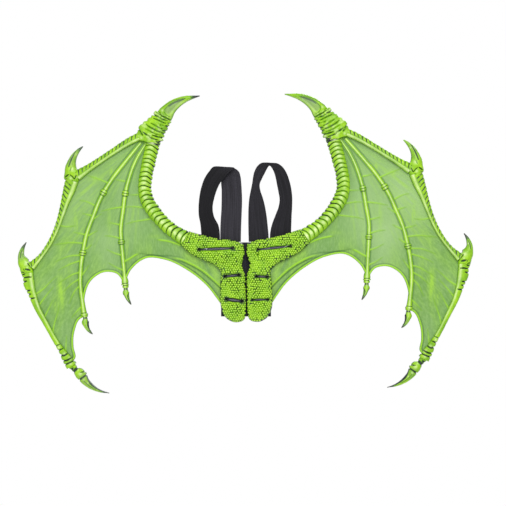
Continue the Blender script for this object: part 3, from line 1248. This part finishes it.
def foam_paint(name, mottle=0.25, highlight=PALE_LIME):
    """Lime paint on moulded foam, with a dark wash in the hollows and dry-brushed crests."""
    p = Paint(name)
    cloud = p.noise(p.place(), 55.0, 3.0)
    fine = p.noise(p.place(), 420.0, 5.0, 0.65)
    base = p.mix(p.span(cloud, 0.38, 0.68), LIME, LIME_DEEP)
    base = p.mix(p.span(fine, 0.55, 0.8, 0.0, mottle), base, GREEN_DARK)
    wash = p.attribute("wash")
    wash = p.math("ADD", wash, p.span(fine, 0.3, 0.75, -0.14, 0.14), clamp=True)
    deep = p.mix(p.span(wash, 0.1, 0.35), base, LIME_DEEP)
    deep = p.mix(p.span(wash, 0.28, 0.55), deep, GREEN_DARK)
    deep = p.mix(p.span(wash, 0.5, 0.85), deep, NEAR_BLACK)
    pale = p.math("MULTIPLY", p.attribute("pale"), p.span(fine, 0.3, 0.6, 0.55, 1.0))
    colour = p.mix(p.math("MULTIPLY", pale, 0.8, clamp=True), deep, highlight)
    grey = p.mix(0.45, linear(112, 132, 104), colour)
    colour = p.mix(p.attribute("grey"), colour, grey)
    p.bump(fine, 0.22, 0.0006)
    return p.finish(
        Base_Color=colour, Roughness=p.span(fine, 0.3, 0.7, 0.34, 0.54),
        Specular_IOR_Level=0.4, Coat_Weight=0.1, Coat_Roughness=0.25,
    )


def membrane_paint():
    """Sage green web, brushed with lime along the creases that fan out from the wrist."""
    p = Paint("membrane_paint")
    fan = p.vector(p.attribute("fan_turn"), p.attribute("fan_reach"))
    streaks = p.noise(fan, 1.3, 6.0, 0.62)
    close_fan = p.vector(p.math("MULTIPLY", p.attribute("fan_turn"), 3.5), p.attribute("fan_reach"))
    hair = p.noise(close_fan, 2.2, 4.0)
    fine = p.noise(p.place(), 620.0, 4.0, 0.6)
    cloud = p.attribute("cloud")
    glow = p.math("ADD", p.attribute("glow"), p.span(cloud, 0.25, 0.75, -0.22, 0.22), clamp=True)
    sage = p.mix(glow, linear(112, 156, 76), linear(156, 191, 124))
    sage = p.mix(p.span(streaks, 0.42, 0.66, 0.0, 0.4), sage, linear(156, 194, 124))
    sage = p.mix(p.span(hair, 0.5, 0.75, 0.0, 0.4), sage, linear(92, 148, 60))
    brushed = p.math("MULTIPLY", p.attribute("brushed"), p.span(streaks, 0.3, 0.62, 0.3, 1.2), clamp=True)
    colour = p.mix(p.math("MULTIPLY", brushed, 0.85), sage, linear(160, 210, 62))
    wash = p.math("ADD", p.attribute("wash"), p.span(fine, 0.3, 0.8, -0.05, 0.1), clamp=True)
    colour = p.mix(p.span(wash, 0.05, 0.85), colour, linear(58, 108, 36))
    colour = p.mix(p.attribute("lime"), colour, linear(156, 214, 34))
    p.bump(p.math("ADD", p.math("MULTIPLY", hair, 0.7), fine), 0.2, 0.0006)
    return p.finish(
        Base_Color=colour, Roughness=p.span(streaks, 0.3, 0.7, 0.46, 0.62),
        Specular_IOR_Level=0.4,
    )


def woven(name, dark, light, across_scale, along_scale):
    """Woven elastic or cloth, with ribs along it and finer picks across.

    Its tone attribute runs from black at 0 to faded at 1, and to slate where it bulges at 2."""
    p = Paint(name)
    across, along = p.attribute("weave_across"), p.attribute("weave_along")
    ribs = p.math("SINE", p.math("MULTIPLY", across, across_scale))
    picks = p.math("SINE", p.math("MULTIPLY", along, along_scale))
    thread = p.math("MULTIPLY", ribs, picks)
    fuzz = p.noise(p.place(), 900.0, 4.0, 0.7)
    streaks = p.vector(p.math("MULTIPLY", across, 0.55), p.math("MULTIPLY", along, 0.012))
    cloud = p.noise(streaks, 1.0, 3.0)
    tone = p.attribute("tone")
    height = p.math("ADD", p.math("MULTIPLY", ribs, 0.6), p.math("MULTIPLY", thread, 0.5))
    height = p.math("ADD", height, fuzz)
    share = p.span(height, -0.8, 1.6)
    share = p.math("MULTIPLY", share, p.span(cloud, 0.35, 0.65, 0.5, 1.15), clamp=True)
    share = p.math("MULTIPLY", share, p.span(tone, 0.0, 1.0, 0.3, 1.7), clamp=True)
    colour = p.mix(share, dark, light)
    colour = p.mix(p.span(tone, 1.0, 2.0), colour, linear(122, 117, 138))
    p.bump(height, 0.45, 0.0004)
    return p.finish(
        Base_Color=colour, Roughness=0.85, Sheen_Weight=0.05, Sheen_Roughness=0.5,
        Specular_IOR_Level=0.2,
    )


def thread_paint():
    """Twisted black polyester thread."""
    p = Paint("thread_paint")
    twist = p.noise(p.place(), 1500.0, 3.0)
    p.bump(twist, 0.4, 0.0002)
    colour = p.mix(twist, linear(30, 30, 33), linear(66, 66, 72))
    return p.finish(Base_Color=colour, Roughness=0.55)


def wire_paint():
    """Drawn aluminium wire, with fine marks along it."""
    p = Paint("wire_paint")
    marks = p.noise(p.place((1, 1, 6)), 500.0, 5.0)
    p.bump(marks, 0.1, 0.0002)
    colour = p.mix(marks, linear(150, 152, 156), linear(205, 206, 210))
    return p.finish(Base_Color=colour, Roughness=p.span(marks, 0.3, 0.7, 0.25, 0.45), Metallic=1.0)


# ---------------------------------------------------------------- the object

def stand_for(piece, node, body, material, slot):
    """Gives a piece its material, its body and the CAD node that it stands for."""
    piece.data.materials.clear()
    piece.data.materials.append(material)
    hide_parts(node)
    if body:
        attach(piece, body)


def build_wing(side, paints):
    """Every visible piece of one wing, sewn to the strip between them."""
    wing = f"{side}_wing"
    lime, scales, claw, web, elastic, cloth, thread, wire = paints
    foam, horny = (lime, "painted_foam"), (claw, "painted_claw")
    outer = (FINGER_1_OUTER, 0.45, 8.0, 0, 146, OUTER_CREASES, OUTER_SHINE)
    upper_dark = 0.25 if side == "right" else 0.75
    mouldings = [
        ("arm", arm, (), foam),
        ("wrist_wrap", wrist_wrap, (), foam),
        ("thumb_claw", thumb_claw, (), horny),
        ("first_finger_inner", finger_bone, (FINGER_1_INNER, 0.5, 8.3), foam),
        ("first_finger_middle", finger_bone, (FINGER_1_MIDDLE, 0.5, 8.4), foam),
        ("first_finger_outer", finger_bone, outer, foam),
        ("upper_horn", horn, (UPPER_HORN, UPPER_HORN_MARKS, 30, upper_dark, 91), horny),
        ("lower_horn", horn, (LOWER_HORN, LOWER_HORN_MARKS, 30, 0.9, 97), horny),
        ("tip_claw", horn, (TIP_CLAW, TIP_CLAW_MARKS, 26, 0.95, 103), horny),
        ("second_finger", slender_finger, (FINGER_2, [(258, 173, 4.2), (301, 63, 3.6)], (303.2, -52)), foam),
        ("second_finger_claw", small_claw, (FINGER_2_CLAW, SECOND_CLAW_CREASES, 11, 0.85), horny),
        ("third_finger", slender_finger, (FINGER_3, [(217.5, 170, 4.0), (228.5, 80, 3.2)], (225, -1)), foam),
        ("third_finger_claw", small_claw, (FINGER_3_CLAW, THIRD_CLAW_CREASES, 14, 0.95), horny),
        ("scale_plate", scale_plate, (), (scales, "painted_scales")),
        ("membrane", membrane, (), (web, "painted_membrane")),
    ]
    for name, build, values, (paint, slot) in mouldings:
        piece = build(name, side, *values)
        stand_for(piece, f"{side}_{name}", wing, paint, slot)
    stand_for(strap_loop(side), f"{side}_strap_loop", f"{side}_strap", elastic, "strap_elastic")
    stand_for(stitching(side), f"{side}_panel_stitching", wing, thread, "stitching")
    panel = back_panel(side)
    stand_for(panel, f"{side}_back_panel", None, cloth, "back_fabric")
    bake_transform(panel)
    for which in (0, 1):
        stand_for(sewn_end(side, which), f"{side}_strap_tails", wing, elastic, "strap_elastic")
    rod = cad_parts[f"{side}_armature_wire"]
    rod.data.materials.clear()
    rod.data.materials.append(wire)


def build_object():
    """Both wings and the strip between them."""
    lime = foam_paint("foam_paint")
    scales = foam_paint("scale_paint", mottle=0.2, highlight=BEAD_LIME)
    claw = foam_paint("claw_paint", mottle=0.2)
    elastic = woven("elastic_weave", linear(12, 12, 13), linear(60, 58, 65), 4.96, 7.6)
    cloth = woven("panel_weave", linear(24, 24, 28), linear(58, 58, 66), 5.5, 5.5)
    paints = (lime, scales, claw, membrane_paint(), elastic, cloth, thread_paint(), wire_paint())
    strip = webbing_block("centre_strip", *node_box("centre_fold_strip"))
    stand_for(strip, "centre_fold_strip", "spine", cloth, "back_fabric")
    for side in ("right", "left"):
        build_wing(side, paints)


# ---------------------------------------------------------------- studio

def aim(thing, at):
    """Turns a light or camera to look at a place."""
    direction = mathutils.Vector(at) - thing.location
    thing.rotation_euler = direction.to_track_quat("-Z", "Y").to_euler()


def softbox(name, place, at, size, power):
    """A soft rectangular light."""
    lamp = bpy.data.lights.new(name, "AREA")
    lamp.size = size
    lamp.energy = power
    thing = bpy.data.objects.new(name, lamp)
    thing.location = place
    bpy.context.scene.collection.objects.link(thing)
    aim(thing, at)


def studio():
    """A white surround, soft lights, a pale floor well below, and the camera."""
    scene = bpy.context.scene
    scene.view_settings.view_transform = "Standard"
    world = bpy.data.worlds.new("studio")
    world.use_nodes = True
    scene.world = world
    tree = world.node_tree
    tree.nodes["Background"].inputs["Color"].default_value = (0.97, 0.985, 1.0, 1.0)
    tree.nodes["Background"].inputs["Strength"].default_value = 0.55
    seen = tree.nodes.new("ShaderNodeBackground")
    seen.inputs["Color"].default_value = (1.0, 1.0, 1.0, 1.0)
    seen.inputs["Strength"].default_value = 1.0
    path = tree.nodes.new("ShaderNodeLightPath")
    choose = tree.nodes.new("ShaderNodeMixShader")
    tree.links.new(path.outputs["Is Camera Ray"], choose.inputs[0])
    tree.links.new(tree.nodes["Background"].outputs[0], choose.inputs[1])
    tree.links.new(seen.outputs[0], choose.inputs[2])
    tree.links.new(choose.outputs[0], tree.nodes["World Output"].inputs["Surface"])

    middle = (0, 0, 0.05)
    softbox("key", (0.5, -1.9, 1.6), middle, 1.0, 34)
    softbox("fill", (-1.5, -1.5, 0.4), middle, 1.2, 10)
    softbox("back", (0.6, 2.0, 1.2), middle, 1.4, 22)

    # The floor, in metres: half its width, its near and far edges, and its height.
    reach, near, far, height = 1.6, -1.6, 1.4, -0.78
    floor_mesh = bpy.data.meshes.new("floor")
    floor_mesh.from_pydata(
        [(-reach, near, height), (reach, near, height), (reach, far, height), (-reach, far, height)],
        [], [(0, 1, 2, 3)],
    )
    floor = bpy.data.objects.new("floor", floor_mesh)
    scene.collection.objects.link(floor)
    pale = Paint("floor_paint")
    floor_mesh.materials.append(pale.finish(Base_Color=(0.9, 0.9, 0.9, 1.0), Roughness=0.7))

    lens = bpy.data.cameras.new("camera")
    lens.lens = 100
    lens.sensor_width = 36
    camera = bpy.data.objects.new("camera", lens)
    scene.collection.objects.link(camera)
    # The camera looks straight on, and sees this width at this depth in front of the origin, in metres.
    view_width, face_depth = 0.940, 0.008
    across, up = 0.013, 0.0502
    away = view_width * lens.lens / lens.sensor_width + face_depth
    camera.location = (across, -away, up)
    camera.rotation_euler = (math.pi / 2, 0, 0)
    scene.camera = camera


studio()
build_object()
